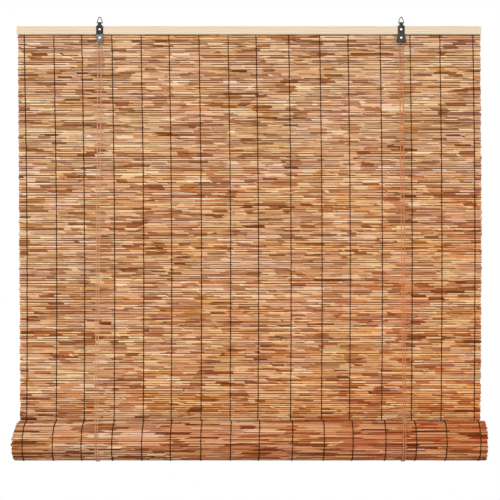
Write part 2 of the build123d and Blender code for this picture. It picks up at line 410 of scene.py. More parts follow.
def mottle_group():
    """Fine handling marks and wear, for the metal pieces."""
    shader, vector, out = effect_group("fine_mottle", "Marks", "Clouds")
    marks = shader.noise(shader.stretched(vector, (1400, 1400, 300)), 1.0, 5.0, 0.65)
    clouds = shader.noise(vector, 210.0, 2.0)
    shader.put(out.inputs["Marks"], shader.band(marks, 0.35, 0.7))
    shader.put(out.inputs["Clouds"], shader.band(clouds, 0.3, 0.7))
    return shader.owner


long_grain = grain_group()
fine_mottle = mottle_group()


def placed(shader, group, vector):
    return shader.add("ShaderNodeGroup", {"Vector": vector}, node_tree=group).outputs


# Dried reed, from scorched to straw
reed_colours = [
    (0.06, (110, 61, 28)),
    (0.2, (154, 97, 57)),
    (0.34, (199, 146, 104)),
    (0.48, (222, 179, 140)),
    (0.66, (230, 193, 156)),
    (0.82, (237, 207, 174)),
    (0.96, (243, 221, 194)),
]
plum, amber, ember = srgb(158, 102, 98), srgb(212, 144, 76), srgb(200, 118, 40)
dirt_and_shade_brown, cut_brown = srgb(86, 44, 20), srgb(122, 76, 46)
plum_tint, straw_tint = (1.0, 0.985, 1.05), (1.01, 1.03, 0.89)
tone_share, scorch_share, bundle_share = 0.3, 0.7, 0.17
lot_shift, dirt_and_shade_shift = 977.0, 431.7  # so that stems differ, and a stem's lines of painted shade from its patches
patch_slant = 0.06
dirt_and_shade_length = 42 * MM


def reed_finish(name, scorch_length, spread, warmth, cast_and_shade_range, shade_tint, patchy, dirt_and_shade_share):
    """Dried reed: stems scorched in uneven stretches, with fibres, dark lines below of painted shade and some
    dirt, clouds of straw and plum, and an orange cast towards the lower right, with painted shade there as
    well on the roll."""
    shader, place = finish_named(name)
    tone, lot, height, ending = map(shader.attribute, ("reed_tone", "reed_lot", "reed_height", "reed_end"))
    grain = placed(shader, long_grain, place)
    x, y, z = shader.parts(place)

    start = shader.plus(shader.times(lot, lot_shift), shader.times(height, patch_slant))
    scorched, stained, middle = shader.patches(shader.plus(shader.math("DIVIDE", x, scorch_length), start))
    own = shader.plus(shader.times(tone, tone_share), shader.times(scorched, scorch_share))
    own = shader.plus(own, shader.band(grain["Slow"], 0.0, 1.0, -0.06, 0.06))
    patch_x = shader.times(shader.math("SUBTRACT", middle, start), scorch_length)
    patch = shader.add("ShaderNodeCombineXYZ", {0: patch_x, 1: y, 2: z}).outputs[0]
    bundles = shader.noise(shader.stretched(patch, (11, 40, 40)), 1.0, 2.0)
    own = shader.plus(own, shader.band(bundles, 0.3, 0.7, -bundle_share, bundle_share), clamp=True)
    colour = shader.ramp(shader.band(own, 0.5 - 0.5 / spread, 0.5 + 0.5 / spread), reed_colours)

    colour = shader.mix(shader.band(stained, 0.78, 0.88, 0.0, 0.42), colour, plum)
    colour = shader.mix(shader.band(stained, 0.22, 0.1, 0.0, 0.5), colour, amber)
    clouds = shader.noise(shader.stretched(place, (8, 22, 22), (5.3, 2.1, 8.6)), 1.0, 3.0)
    tint = shader.mix(shader.band(clouds, 0.33, 0.67), plum_tint, straw_tint)
    colour = shader.mix(1.0, colour, tint, "MULTIPLY")

    drift = shader.noise(shader.stretched(place, (3.0, 3.0, 4.5)), 1.0, 1.0)
    right = shader.band(x, -mat_half, mat_half, 0.3, 1.0)
    corner = shader.times(right, shader.band(z, mat_top, mat_foot))
    corner = shader.plus(corner, shader.band(drift, 0.3, 0.7, -patchy, patchy))
    cast_and_shade = shader.band(corner, *cast_and_shade_range)
    colour = shader.mix(shader.times(cast_and_shade, warmth), colour, ember, "SOFT_LIGHT")
    # Painted shade: this tint darkens the same lower-right stretch that takes the orange cast, strongly on
    # the roll and barely on the mat.
    colour = shader.mix(cast_and_shade, colour, shade_tint, "MULTIPLY")
    colour = shader.mix(0.9, colour, shader.band(grain["Fine"], 0.0, 1.0, 0.84, 1.08), "MULTIPLY")

    # Painted shade, partly dirt: dark lines in stretches along the side of each reed with negative
    # reed_height, the lower side on the hanging mat, where the valley between rows lies in shade.
    along = shader.plus(shader.math("DIVIDE", x, dirt_and_shade_length), shader.plus(start, dirt_and_shade_shift))
    dirt_and_shade_patch, _, _ = shader.patches(along)
    dirt_and_shade = shader.band(dirt_and_shade_patch, dirt_and_shade_share, dirt_and_shade_share - 0.22, 0.25, 0.95)
    colour = shader.mix(shader.times(shader.band(height, -0.05, -0.42), dirt_and_shade), colour, dirt_and_shade_brown)
    colour = shader.mix(shader.times(ending, 0.55), colour, cut_brown)
    rough = shader.band(grain["Fine"], 0.0, 1.0, 0.8, 0.62)
    return shader.coat(colour, rough, shader.bump(grain["Fine"], 0.35, 0.12 * MM), shine=0.04)


def pine_finish():
    """Planed pine: pale, with faint yellow growth lines along the batten."""
    shader, place = finish_named("planed_pine")
    grain = placed(shader, long_grain, shader.stretched(place, (0.35, 0.5, 0.35)))
    rings = shader.wave(shader.stretched(place, (0.16, 1.0, 1.0)), "Z", 60.0, 5.0)
    colour = shader.ramp(rings, [
        (0.0, (213, 196, 171)),
        (0.6, (211, 192, 165)),
        (0.92, (207, 185, 155)),
        (1.0, (202, 179, 147)),
    ])
    streaks = shader.band(grain["Fine"], 0.0, 1.0, 0.93, 1.03)
    colour = shader.mix(1.0, colour, streaks, "MULTIPLY")
    rough = shader.band(grain["Slow"], 0.0, 1.0, 0.6, 0.72)
    return shader.coat(colour, rough, shader.bump(grain["Fine"], 0.25, 0.1 * MM), shine=0.3)


def thread_finish():
    """Dark waxed thread with its own twist."""
    shader, place = finish_named("warp_thread")
    twist = shader.wave(place, "DIAGONAL", 420.0, 1.5)
    fuzz = shader.noise(place, 900.0, 2.0)
    colour = shader.mix(twist, srgb(44, 18, 5), srgb(68, 31, 11))
    colour = shader.mix(shader.band(fuzz, 0.5, 0.8, 0.0, 0.3), colour, srgb(96, 52, 24))
    rough = shader.band(fuzz, 0.0, 1.0, 0.75, 0.9)
    return shader.coat(colour, rough, shader.bump(twist, 0.5, 0.15 * MM), shine=0.06)


def cord_finish():
    """Braided cord: two sets of strands crossing, read from the lay written on each tube. The right cord is
    the more orange one."""
    shader, place = finish_named("lift_cord")
    braid_pitch = 3.2 * MM
    cosine, sine, length = shader.parts(shader.attribute("cord_lay", "Vector"))
    around = shader.times(shader.math("ARCTAN2", sine, cosine), 2.0)
    along = shader.times(length, 2 * pi / braid_pitch)
    one_way = shader.math("SINE", shader.plus(along, around))
    other_way = shader.math("SINE", shader.math("SUBTRACT", along, around))
    height = shader.math("MAXIMUM", one_way, other_way)
    fuzz = shader.noise(place, 1100.0, 2.0)
    # The colour follows the braid's height and darkens where it lies low: painted shade in the grooves
    # between strands.
    colour = shader.ramp(shader.band(height, -0.6, 1.0), [
        (0.0, (142, 86, 56)),
        (0.45, (190, 130, 92)),
        (1.0, (212, 156, 114)),
    ])
    colour = shader.mix(shader.band(fuzz, 0.45, 0.8, 0.0, 0.3), colour, srgb(216, 166, 126))
    right = shader.band(shader.parts(place)["X"], hanger_x["left"], hanger_x["right"])
    colour = shader.mix(right, colour, srgb(255, 218, 178), "MULTIPLY")
    return shader.coat(colour, shader.band(fuzz, 0.0, 1.0, 0.65, 0.85), shader.bump(height, 0.6, 0.25 * MM))


def black_plate_finish(name, dark, pale, reflection_share):
    """Black paint on stamped strap, with a painted grey reflection on the skirt that turns brown towards its
    foot.
    """
    shader, place = finish_named(name)
    mottle = placed(shader, fine_mottle, place)
    colour = shader.mix(shader.band(mottle["Clouds"], 0.0, 1.0, 0.0, 0.6), dark, pale)
    colour = shader.mix(shader.band(mottle["Marks"], 0.75, 1.0, 0.0, 0.3), colour, srgb(92, 88, 86))
    skirt_level = shader.plus(shader.parts(place)["Z"], shader.band(mottle["Clouds"], 0.0, 1.0, -2 * MM, 2 * MM))
    # Painted reflection: the skirt goes grey, and brown towards its foot, by the given share.
    skirt = shader.band(skirt_level, rail_low.z + 0.5 * MM, rail_low.z - 1.5 * MM, 0.0, reflection_share)
    reflected_grey = shader.mix(mottle["Clouds"], srgb(100, 102, 104), srgb(128, 128, 128))
    foot = shader.band(skirt_level, rail_low.z - 7 * MM, rail_low.z - 18 * MM, 0.0, 0.85)
    colour = shader.mix(skirt, colour, shader.mix(foot, reflected_grey, srgb(122, 92, 74)))
    rough = shader.band(mottle["Marks"], 0.0, 1.0, 0.3, 0.5)
    return shader.coat(colour, rough, shader.bump(mottle["Clouds"], 0.12, 0.2 * MM), shine=0.14)


def metal_finish(name, pale, dark, rough):
    """Plated steel with handling marks."""
    shader, place = finish_named(name)
    mottle = placed(shader, fine_mottle, place)
    colour = shader.mix(shader.band(mottle["Clouds"], 0.0, 1.0, 0.0, 0.7), pale, dark)
    return shader.coat(colour, shader.band(mottle["Marks"], 0.0, 1.0, rough, rough + 0.2), metallic=1.0)


def nylon_finish():
    """Moulded wheel, off-white and slightly waxy."""
    shader, place = finish_named("wheel_nylon")
    clouds = shader.noise(place, 500.0, 3.0)
    colour = shader.mix(shader.band(clouds, 0.3, 0.7), srgb(214, 208, 196), srgb(196, 188, 172))
    return shader.coat(colour, shader.band(clouds, 0.3, 0.7, 0.35, 0.5))


reed = reed_finish(
    "reed", scorch_length=33 * MM, spread=0.85, warmth=0.68, cast_and_shade_range=(0.0, 1.05),
    shade_tint=srgb(255, 252, 248), patchy=0.12, dirt_and_shade_share=0.78,
)
# The rolled reed's tint of (220, 190, 186) is painted shade towards the roll's right end.
rolled_reed = reed_finish(
    "rolled_reed", scorch_length=78 * MM, spread=1.1, warmth=0.8, cast_and_shade_range=(0.16, 1.0),
    shade_tint=srgb(220, 190, 186), patchy=0.06, dirt_and_shade_share=0.6,
)
pine = pine_finish()
thread = thread_finish()
cord = cord_finish()
black_plate = {
    "left": black_plate_finish("black_plate_left", srgb(12, 11, 12), srgb(26, 24, 25), 0.9),
    # The right plate's black is lighter and browner than the left's: painted light over the same paint.
    "right": black_plate_finish("black_plate_right", srgb(44, 42, 36), srgb(62, 58, 50), 0.06),
}
bright_steel = metal_finish("bright_steel", srgb(236, 236, 238), srgb(206, 206, 210), 0.16)
ring_steel = metal_finish("ring_wire", srgb(74, 73, 74), srgb(34, 33, 34), 0.3)
staple_steel = metal_finish("staple_wire", srgb(196, 197, 198), srgb(150, 150, 152), 0.3)
nylon = nylon_finish()


# Reeds


def reed_blank(name, cuts, sides):
    """One straight stem of unit length and radius along X, cut across where it will bend and taper."""
    clear_selection()
    bpy.ops.mesh.primitive_cylinder_add(vertices=sides, radius=1, depth=1, rotation=(0, pi / 2, 0))
    blank = settle(bpy.context.object)
    blank.name = name
    with editing(blank):
        for cut in range(1, cuts):
            bpy.ops.mesh.select_all(action="SELECT")
            bpy.ops.mesh.bisect(plane_co=(cut / cuts - 0.5, 0, 0), plane_no=(1, 0, 0))
    return outward(blank)


class Stems:
    """Copies of one blank, each bent and tapered its own way, gathered into one mesh."""

    def __init__(self, blank, cuts):
        mesh = blank.data
        spots = np.array([v.co for v in mesh.vertices])
        self.station = np.rint((spots[:, 0] + 0.5) * cuts).astype(int)
        self.across, self.up = spots[:, 1], spots[:, 2]
        self.faces = [list(p.vertices) for p in mesh.polygons]
        self.capped = np.array([abs(p.normal.x) > 0.9 for p in mesh.polygons])
        self.rows, self.tones, self.lots = [], [], []

    def add(self, x, y, z, depth, height, tone, lot, turn):
        """A stem through the stations' places, its section's depth and height along turned Y and Z."""
        s = self.station
        out, rise = self.across * depth[s], self.up * height[s]
        spots = np.empty((len(s), 3))
        spots[:, 0] = x[s]
        spots[:, 1] = y[s] + out * cos(turn) - rise * sin(turn)
        spots[:, 2] = z[s] + out * sin(turn) + rise * cos(turn)
        self.rows.append(spots)
        self.tones.append(tone)
        self.lots.append(lot)

    def mesh(self, name):
        count, each = len(self.rows), len(self.station)
        spots = np.concatenate(self.rows)
        starts = np.arange(count) * each
        corners = np.concatenate([np.array(f) for f in self.faces])
        loops = (corners[None, :] + starts[:, None]).ravel()
        totals = np.tile([len(f) for f in self.faces], count)
        firsts = np.concatenate(([0], np.cumsum(totals)[:-1]))
        capped = np.tile(self.capped, count)
        mesh = bpy.data.meshes.new(name)
        mesh.vertices.add(len(spots))
        mesh.vertices.foreach_set("co", spots.astype(np.float32).ravel())
        mesh.loops.add(len(loops))
        mesh.loops.foreach_set("vertex_index", loops.astype(np.int32))
        mesh.polygons.add(len(totals))
        mesh.polygons.foreach_set("loop_start", firsts.astype(np.int32))
        mesh.polygons.foreach_set("use_smooth", ~capped)
        mesh.update(calc_edges=True)
        for label, domain, numbers in (
            ("reed_tone", "POINT", np.repeat(self.tones, each)),
            ("reed_lot", "POINT", np.repeat(self.lots, each)),
            ("reed_height", "POINT", np.tile(self.up, count)),
            ("reed_end", "FACE", capped),
        ):
            layer = mesh.attributes.new(label, "FLOAT", domain)
            layer.data.foreach_set("value", numbers.astype(np.float32))
        return stand(name, mesh)


stem_blank = reed_blank("stem_blank", stem_cuts, stem_sides)
sliver_blank = reed_blank("sliver_blank", sliver_cuts, sliver_sides)


def bundle():
    """Room for stems and for slivers."""
    return Stems(stem_blank, stem_cuts), Stems(sliver_blank, sliver_cuts)


def all_along(value):
    """The same value at every station of a sliver."""
    return np.full(sliver_stations, value)


def reed_tone():
    """Most stems are tan, some dark and some straw."""
    kind = draw.random()
    return next(draw.uniform(low, high) for chance, low, high in stem_tones if kind < chance)


def row_breaks(left, right, shortest, longest):
    """Where one stem gives way to the next along a row."""
    places = [left]
    while places[-1] < right:
        places.append(places[-1] + draw.uniform(shortest, longest))
    places[-1] = right
    if len(places) > 2 and places[-1] - places[-2] < shortest / 2:
        del places[-2]
    return places


def lay_row(stems, left, right, place, turn, step):
    """One row of stems that overlap on long slanting ends. place turns a rise up the row and an inset from
    its face into Y and Z."""
    breaks = row_breaks(left, right, *stem_lengths)
    slants = [draw.uniform(*slant_range) * MM for _ in breaks]
    rising = [1 if draw.random() < 0.5 else -1 for _ in breaks]
    slants[0] = slants[-1] = 0
    thick = draw.uniform(*stem_thickness)
    for number in range(len(breaks) - 1):
        start, end = breaks[number], breaks[number + 1]
        head, tail = (min(slant, (end - start) / end_limit) for slant in slants[number:number + 2])
        first, last = max(head, shortest_end), max(tail, shortest_end)
        x = np.array([
            start - head, start + first / end_part, start + first,
            end - last, end - last / end_part, end + tail,
        ])
        share, lean = np.ones(stem_stations), np.zeros(stem_stations)
        if head:
            share[:2] = end_shares
            lean[:2] = -rising[number] * (1 - share[:2])
        if tail:
            share[-2:] = end_shares[::-1]
            lean[-2:] = rising[number + 1] * (1 - share[-2:])
        height = step / 2 * share * (stem_height + draw.uniform(*height_spread, stem_stations))
        wide = stem_depth + draw.uniform(*depth_spread, stem_stations)
        depth = reed_reach * thick * np.sqrt(share) * wide
        slope = draw.normal(0, stem_slope) * (x - (start + end) / 2)
        rise = step / 2 * end_lean * lean + slope + draw.normal(0, stem_wobble, stem_stations)
        y, z = place(rise, depth + draw.uniform(*stem_sink) * MM)
        stems.add(x, y, z, depth, height, reed_tone(), draw.random(), turn)


def lay_slivers(stems, left, right, place, turn, step, counts):
    """Thin splinters of reed caught in the valley above a row, most of them dark."""
    for _ in range(int(draw.integers(*counts))):
        length = draw.uniform(*sliver_lengths) * MM
        start = draw.uniform(left + sliver_inset, right - sliver_inset - length)
        x = start + length * np.linspace(0, 1, sliver_stations)
        size = draw.uniform(*sliver_sizes) * MM
        slope = draw.normal(0, sliver_slope) * (x - start - length / 2)
        rise = step / 2 * draw.uniform(*sliver_rise) + slope + draw.normal(0, sliver_wobble, sliver_stations)
        y, z = place(rise, all_along(draw.uniform(*sliver_sink) * MM + size))
        tone = draw.uniform(*dark_tones) if draw.random() < dark_slivers else draw.uniform(*pale_tones)
        taper = size * sliver_taper
        stems.add(x, y, z, taper, taper * sliver_flatness, tone, draw.random(), turn)


def back_row(stems, left, right, place, turn, step):
    """A thin stem deep in the valley below a row, so that no light shows between the reeds. Its dark tone is
    painted shade.
    """
    x = np.linspace(left + back_inset, right - back_inset, sliver_stations)
    y, z = place(all_along(-step / 2), all_along(reed_reach))
    size = all_along(back_reed_radius)
    stems.add(x, y, z, size, size, back_shade_tone, draw.random(), turn)


def astray(reach):
    """A chance offset of up to reach millimetres either way."""
    return draw.uniform(-reach, reach) * MM


def mat_edges(share):
    """The mat's uneven left and right edges at a share of its drop."""
    left = -mat_half + (left_lean * share + left_start) * MM
    right = mat_half + (right_start + right_bow * sin(pi * share) ** 2) * MM
    return left + astray(edge_jitter), right + astray(edge_jitter)


def hanging_mat():
    """The mat in two pieces: what always hangs, and what the roll takes up."""
    uppers, lowers = bundle(), bundle()
    for number, (middle, step) in enumerate(zip(row_middles, row_heights)):
        stems, slivers = uppers if middle > split_z else lowers

        def place(rise, inset, middle=middle):
            return mat_front + inset, middle + rise

        row = *mat_edges(number / reed_rows), place, 0.0, step
        lay_row(stems, *row)
        if number < reed_rows - 1:
            back_row(slivers, *row)
        if middle < rail_low.z - reed_step:
            lay_slivers(slivers, *row, mat_slivers)
    for name, (stems, slivers) in (("reed_mat_upper", uppers), ("reed_mat_lower", lowers)):
        whole = join([stems.mesh(name), slivers.mesh(name + "_slivers")], name)
        dress(whole, reed, "headrail", "reed", "reed_mat")
        if slivers is lowers[1]:
            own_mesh(whole)


def spiral(turned):
    """The radius of the rolled mat's middle after an angle from where it leaves the hanging mat."""
    turn, rest = divmod(turned, 2 * pi)
    step_in = max(0.0, rest - (2 * pi - jog_angle)) / jog_angle
    return rolling_radius - (turn + step_in) * turn_pitch


def round_roll(turned, offsets):
    """An offset in millimetres, given for the back, foot, front, crown and nip of the outer turn."""
    return float(np.interp(turned, roll_stations, offsets)) * MM


def roll_edges(turned):
    """The rolled mat's uneven ends: the outer turn is a little askew, the turns inside it lie straight."""
    left, right = inner_left_end, inner_right_end
    if turned < 2 * pi:
        left, right = round_roll(turned, roll_left_end), round_roll(turned, roll_right_end)
    return -mat_half + left + astray(roll_jitter), mat_half + right + astray(roll_jitter)


def rolled_rows():
    """Where each rolled reed lies round the roll, and how much of the way round it takes."""
    rows, edge = [], 0.0
    while edge < 2 * pi * roll_turns - jog_angle:
        step = reed_step * draw.uniform(*uneven)
        turned = edge + step / 2 / spiral(edge)
        rows.append((turned, step))
        edge = turned + step / 2 / spiral(turned)
    return rows


roll_rows = rolled_rows()


def rolled_mat():
    outer = bundle()
    inner = Stems(sliver_blank, sliver_cuts)
    for turned, step in roll_rows:
        radius = spiral(turned)

        def place(rise, inset, radius=radius, turned=turned):
            reach = radius + reed_reach - inset
            angle = turned - rise / radius
            return roll_axis.y + reach * np.cos(angle), roll_axis.z - reach * np.sin(angle)

        left, right = roll_edges(turned)
        if turned < 2 * pi + jog_angle:
            row = left, right, place, -turned, step
            lay_row(outer[0], *row)
            back_row(outer[1], *row)
            if turned < 2 * pi - jog_angle:
                counts = roll_slivers if turned < crown_start else crown_slivers
                lay_slivers(outer[1], *row, counts)
        else:
            x = np.linspace(left, right, sliver_stations)
            y, z = place(draw.normal(0, inner_wobble, sliver_stations), all_along(reed_reach))
            size = all_along(step / 2 * draw.uniform(*inner_thickness))
            inner.add(x, y, z, size, size, reed_tone(), draw.random(), -turned)
    layers = [outer[0].mesh("roll_reeds"), outer[1].mesh("roll_slivers"), inner.mesh("roll_inner")]
    dress(join(layers, "roll_reeds"), rolled_reed, "roll", "reed", "mat_roll")


# Threads and cords


class Strands:
    """Round strands laid along paths and gathered into one mesh, each with its lay written on it."""

    def __init__(self, sides):
        self.sides = sides
        self.spots, self.faces, self.lays = [], [], []
        self.count = 0

    def add(self, path, out, radius, side=(1.0, 0.0, 0.0), closed=False):
        """A strand along path; side and out span its section at each place."""
        path = np.asarray(path, float)
        out = np.broadcast_to(np.asarray(out, float), path.shape)
        side = np.broadcast_to(np.asarray(side, float), path.shape)
        angles = np.arange(self.sides) * 2 * pi / self.sides
        cosines, sines = np.cos(angles), np.sin(angles)
        ring = cosines[None, :, None] * side[:, None, :] + sines[None, :, None] * out[:, None, :]
        spots = path[:, None, :] + radius * ring
        steps = np.linalg.norm(np.diff(path, axis=0), axis=1)
        along = np.concatenate(([0], np.cumsum(steps)))
        lay = np.empty(spots.shape)
        lay[..., 0], lay[..., 1], lay[..., 2] = cosines[None, :], sines[None, :], along[:, None]
        first, sides = self.count, self.sides
        for station in range(len(path) - (0 if closed else 1)):
            this, after = first + station * sides, first + (station + 1) % len(path) * sides
            for k in range(sides):
                turn = (k + 1) % sides
                self.faces.append((this + k, this + turn, after + turn, after + k))
        if not closed:
            self.faces.append(tuple(first + k for k in reversed(range(sides))))
            last = first + (len(path) - 1) * sides
            self.faces.append(tuple(last + k for k in range(sides)))
        self.spots.append(spots.reshape(-1, 3))
        self.lays.append(lay.reshape(-1, 3))
        self.count += len(path) * sides

    def piece(self, name):
        mesh = bpy.data.meshes.new(name)
        mesh.from_pydata(np.concatenate(self.spots).tolist(), [], self.faces)
        mesh.polygons.foreach_set("use_smooth", [len(face) == 4 for face in self.faces])
        layer = mesh.attributes.new("cord_lay", "FLOAT_VECTOR", "POINT")
        layer.data.foreach_set("vector", np.concatenate(self.lays).astype(np.float32).ravel())
        return outward(stand(name, mesh))


def thread_place(share, drop):
    """A thread's place across the mat at a share of its drop. Threads bow and lean to the right."""
    top = (thread_top_spread * (share + 0.5) + thread_top_start) * MM
    return share * 2 * mat_half + top + drop * (thread_foot - top) + thread_bow * sin(pi * drop)


def rolled_place(share, turned):
    """A thread's place across the roll, askew at the left end as the reeds are."""
    askew = round_roll(turned, roll_left_shift) * (0.5 - share)
    even = round_roll(turned, roll_right_shift) * (0.5 + share)
    return thread_place(share, 1.0) + askew + even


def twine(strands, rows, spot):
    """Two strands that cross between every two reeds. spot gives a place and the way out from it."""
    for start in (0, 1):
        path, out = [], []
        for row in rows:
            way = 1 if (row + start) % 2 == 0 else -1
            for place, reach, side in stitch:
                where, outward_here = spot(row + place, way * reach, way * side * MM)
                path.append(where)
                out.append(outward_here)
        strands.add(path, out, thread_radius)


def mat_twine():
    halves = Strands(thread_sides), Strands(thread_sides)
    split_row = int(np.sum(row_middles > split_z))
    for share in thread_shares:
        wander = draw.normal(0, thread_wander, reed_rows + 2)

        def spot(row, reach, side):
            z = float(np.interp(row, range(reed_rows), row_middles))
            y = mat_middle - reach * thread_reach
            if z > rail_low.z - rail_clear:
                y = max(y, rail_high.y + thread_radius)
            x = thread_place(share, row / reed_rows) + side + np.interp(row, range(len(wander)), wander)
            return (x, y, z), (0.0, 1.0, 0.0)

        twine(halves[0], range(0, split_row), spot)
        twine(halves[1], range(split_row, reed_rows - 1), spot)
    dress(halves[0].piece("mat_threads_upper"), thread, "headrail", "warp_thread", "mat_threads")
    lower = dress(halves[1].piece("mat_threads_lower"), thread, "headrail", "warp_thread", "mat_threads")
    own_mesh(lower)


def roll_twine():
    strands = Strands(thread_sides)
    angles = [turned for turned, _ in roll_rows if turned < 2 * pi]
    for share in thread_shares:
        wander = draw.normal(0, thread_wander, len(angles) + 1)

        def spot(row, reach, side):
            turned = float(np.interp(row, range(len(angles)), angles))
            radius = spiral(turned) + reach * thread_reach
            x = rolled_place(share, turned) + side + np.interp(row, range(len(wander)), wander)
            radial = (0.0, cos(turned), -sin(turned))
            return (x, roll_axis.y + radius * radial[1], roll_axis.z + radius * radial[2]), radial

        twine(strands, range(len(angles) - 1), spot)
    dress(strands.piece("roll_threads_twined"), thread, "roll", "warp_thread", "roll_threads")


def roll_lean(axis_z):
    """The angle at which a taut strand from the pulley meets the roll's front."""
    back, down = leave_y - roll_axis.y, leave_z - axis_z
    return atan2(back, down) + asin(sling_radius / hypot(back, down))


def straight(strands, start, end, places):
    strands.add(np.linspace(start, end, places), (0.0, 1.0, 0.0), cord_radius)


def front_cords(side):
    """The two strands from the pulley to the roll, in lengths that follow the roll as it climbs."""
    low_lean, high_lean = roll_lean(roll_axis.z), roll_lean(roll_axis.z + lift)
    meet_y, meet_z = roll_axis.y - sling_radius * cos(low_lean), roll_axis.z + sling_radius * sin(low_lean)
    leans = np.linspace(high_lean, low_lean, roll_steps)
    reach = [leave_y, *(roll_axis.y - sling_radius * np.cos(leans))]
    shares = [(y - leave_y) / (meet_y - leave_y) for y in reach]
    hanging = [leave_z + share * (meet_z - leave_z) for share in shares]

    def across(way, share):
        return hanger_x[side] + way * (cord_wrap_radius + share * (cord_pair / 2 - cord_wrap_radius))

    stub = Strands(cord_sides)
    for way in (-1, 1):
        x = across(way, 0)
        straight(stub, (x, wheel_spot.y, wheel_spot.z), (x, leave_y, leave_z), short_places)
    dress(stub.piece(f"cord_front_{side}_stub"), cord, "headrail", "lift_cord", f"cord_front_{side}")
    for part in range(len(reach) - 1):
        strands = Strands(cord_sides)
        for way in (-1, 1):
            start = (across(way, shares[part]), reach[part], hanging[part])
            end = (across(way, shares[part + 1]), reach[part + 1], hanging[part + 1])
            straight(strands, start, end, front_places if part == 0 else short_places)
        piece = strands.piece(f"cord_front_{side}_{part + 1}")
        dress(piece, cord, "headrail", "lift_cord", f"cord_front_{side}")
        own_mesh(piece)


def back_cords(side):
    low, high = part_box(f"cord_back_{side}")
    strands = Strands(cord_sides)
    y = (low.y + high.y) / 2
    for x in cord_x[side]:
        straight(strands, (x, y, high.z), (x, y, roll_axis.z), back_places)
    piece = dress(strands.piece(f"cord_back_{side}_run"), cord, "headrail", "lift_cord", f"cord_back_{side}")
    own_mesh(piece)


def cord_loops():
    """The loops under the roll and over the wheels."""
    low_lean = roll_lean(roll_axis.z)
    slings, wraps = Strands(cord_sides), Strands(cord_sides)
    angles = np.linspace(pi - low_lean, 2 * pi, sling_places)
    radial = np.stack([np.zeros(sling_places), np.cos(angles), np.sin(angles)], 1)
    for x in (*cord_x["left"], *cord_x["right"]):
        slings.add(np.array([x, roll_axis.y, roll_axis.z]) + sling_radius * radial, radial, cord_radius)
    angles = np.linspace(0, pi, wrap_places)
    radial = np.stack([np.cos(angles), np.zeros(wrap_places), np.sin(angles)], 1)
    for x in hanger_x.values():
        path = np.array([x, wheel_spot.y, wheel_spot.z]) + cord_wrap_radius * radial
        wraps.add(path, radial, cord_radius, side=(0.0, 1.0, 0.0))
    dress(slings.piece("cord_slings_round"), cord, "slings", "lift_cord", "cord_slings")
    dress(wraps.piece("cord_wraps_round"), cord, "headrail", "lift_cord", "cord_wraps")


def overhand_knots():
    """A small overhand knot at each end of the cords."""
    low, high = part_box("cord_knots")
    strands = Strands(knot_sides)
    turns = np.linspace(0, 2 * pi, knot_places, endpoint=False)
    shape = np.stack([
        np.sin(turns) + 2 * np.sin(2 * turns),
        knot_flatness * np.sin(3 * turns),
        np.cos(turns) - 2 * np.cos(2 * turns),
    ], 1) * knot_size
    ahead = np.roll(shape, -1, 0) - np.roll(shape, 1, 0)
    out = np.cross(ahead, shape)
    out /= np.linalg.norm(out, axis=1)[:, None]
    side = np.cross(ahead, out)
    side /= np.linalg.norm(side, axis=1)[:, None]
    y, z = (low.y + high.y) / 2, (low.z + high.z) / 2
    for x in (*cord_x["left"], *cord_x["right"]):
        strands.add(shape + np.array([x, y, z]), out, knot_strand, side=side, closed=True)
    dress(strands.piece("cord_knots_tied"), cord, "headrail", "lift_cord", "cord_knots")


# Hangers


def lathe(name, outline, x, z, steps):
    """A closed outline of radius and Y, spun about an axle along Y."""
    mesh = bpy.data.meshes.new(name)
    spots = [(x + radius, y, z) for radius, y in outline]
    mesh.from_pydata(spots, [(k, (k + 1) % len(spots)) for k in range(len(spots))], [])
    piece = stand(name, mesh)
    with editing(piece):
        bpy.ops.mesh.spin(steps=steps, angle=2 * pi, center=(x, 0, z), axis=(0, 1, 0))
        bpy.ops.mesh.select_all(action="SELECT")
        bpy.ops.mesh.remove_doubles(threshold=weld)
        bpy.ops.mesh.dissolve_degenerate(threshold=0.001 * MM)
    return smooth(outward(piece), 50)


def dome(height):
    """A round head from its crown to its rim, ending on the plate's face."""
    crown = []
    for angle in range(90, -1, -15):
        rise = head_rim + (1 - head_rim) * sin(radians(angle))
        crown.append((head_radius * cos(radians(angle)), plate_face - height * rise))
    crown[0] = (0.0, crown[0][1])
    return [*crown, (head_radius, plate_face)]


def hanger_plate(side):
    """The plate with its stamped edges eased."""
    name = f"hanger_plate_{side}"
    piece = stand(name + "_eased", frame["nodes"][name].data.copy())
    with editing(piece):
        bpy.ops.mesh.remove_doubles(threshold=0.01 * MM)
        bpy.ops.mesh.dissolve_limited(angle_limit=radians(1))
    bevel = piece.modifiers.new("eased_edge", "BEVEL")
    bevel.width = plate_ease
    bevel.segments = 2
    bevel.limit_method = "ANGLE"
    bevel.angle_limit = radians(50)
    bpy.ops.object.modifier_apply(modifier=bevel.name)
    smooth(piece, 45)
    dress(piece, black_plate[side], "headrail", "black_plate", name)


def hanging_ring(side):
    """Round wire bent to a triangle with soft corners."""
    low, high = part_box(f"hanging_ring_{side}")
    foot_x = (high.x - low.x) / 2 - ring_wire - foot_round
    foot_z, apex_z = eye_z + foot_round, high.z - ring_wire - apex_round
    rise = apex_z - foot_z
    lean = atan2(foot_x, rise) + asin((apex_round - foot_round) / hypot(foot_x, rise))
    path, out = [], []
    for x, z, radius, start, size in (
        (foot_x, foot_z, foot_round, -pi / 2, pi / 2 + lean),
        (0, apex_z, apex_round, lean, pi - 2 * lean),
        (-foot_x, foot_z, foot_round, pi - lean, pi / 2 + lean),
    ):
        for angle in np.linspace(start, start + size, corner_places):
            path.append((hanger_x[side] + x + radius * cos(angle), 0.0, z + radius * sin(angle)))
            out.append((cos(angle), 0.0, sin(angle)))
    strands = Strands(wire_sides)
    strands.add(path, out, ring_wire, side=(0.0, 1.0, 0.0), closed=True)
    wire = strands.piece(f"hanging_ring_{side}_wire")
    dress(wire, ring_steel, f"ring_{side}", "ring_wire", f"hanging_ring_{side}")


